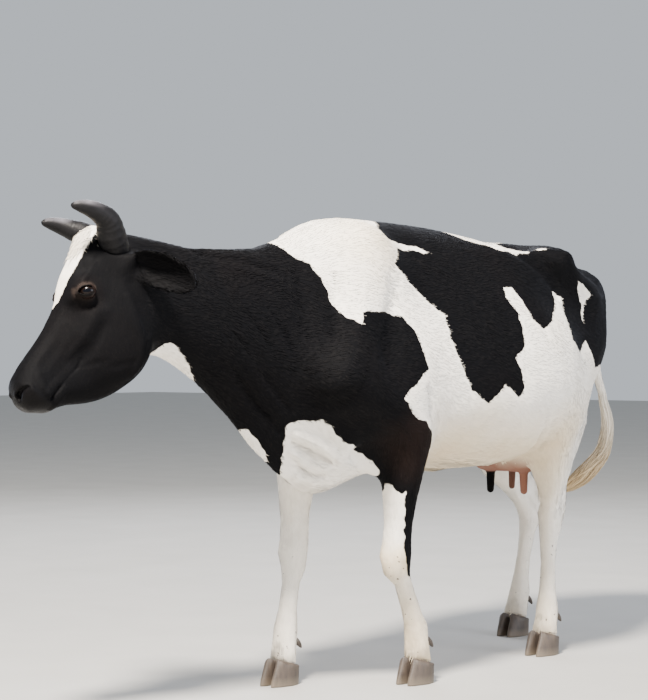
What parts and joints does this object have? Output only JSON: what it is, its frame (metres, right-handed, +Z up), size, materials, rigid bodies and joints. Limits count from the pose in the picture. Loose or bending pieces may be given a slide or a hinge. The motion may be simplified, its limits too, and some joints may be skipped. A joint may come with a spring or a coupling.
{
  "type": "standing dairy cow model",
  "caption": "Life-size model of a horned black and white dairy cow, standing on all four feet with the head turned to the right.",
  "frame": {"origin": "on the floor, at the middle of the floor area that the whole animal covers", "axes": "+Z up; the trunk faces -Y; the animal's left side is +X"},
  "size_m": [0.7328, 2.691, 1.4101],
  "materials": {
    "hide": "short flat hair, black and white in patches",
    "udder_skin": "thinly haired pink skin",
    "switch_hair": "long coarse hair, yellowish white",
    "horn": "satin horn, dark grey, paler on top",
    "hoof": "dull horn with growth rings",
    "eye": "wet and glossy, very dark brown"
  },
  "bodies": {
    "root": {"horn_left": "horn", "eye_left": "eye", "ear_left": "hide", "horn_right": "horn", "eye_right": "eye", "ear_right": "hide", "head": "hide", "neck": "hide", "trunk": "hide", "rump": "hide", "foreleg_upper_left": "hide", "claw_fore_outer_left": "hoof", "dewclaw_fore_outer_left": "hoof", "claw_fore_inner_left": "hoof", "dewclaw_fore_inner_left": "hoof", "foreleg_lower_left": "hide", "hindleg_upper_left": "hide", "claw_hind_outer_left": "hoof", "dewclaw_hind_outer_left": "hoof", "claw_hind_inner_left": "hoof", "dewclaw_hind_inner_left": "hoof", "hindleg_lower_left": "hide", "foreleg_upper_right": "hide", "claw_fore_outer_right": "hoof", "dewclaw_fore_outer_right": "hoof", "claw_fore_inner_right": "hoof", "dewclaw_fore_inner_right": "hoof", "foreleg_lower_right": "hide", "hindleg_upper_right": "hide", "claw_hind_outer_right": "hoof", "dewclaw_hind_outer_right": "hoof", "claw_hind_inner_right": "hoof", "dewclaw_hind_inner_right": "hoof", "hindleg_lower_right": "hide", "teat_fore_left": "udder_skin", "teat_fore_right": "udder_skin", "teat_hind_left": "udder_skin", "teat_hind_right": "udder_skin", "udder": "udder_skin", "tail": "hide", "tail_switch": "switch_hair"}
  },
  "joints": []
}
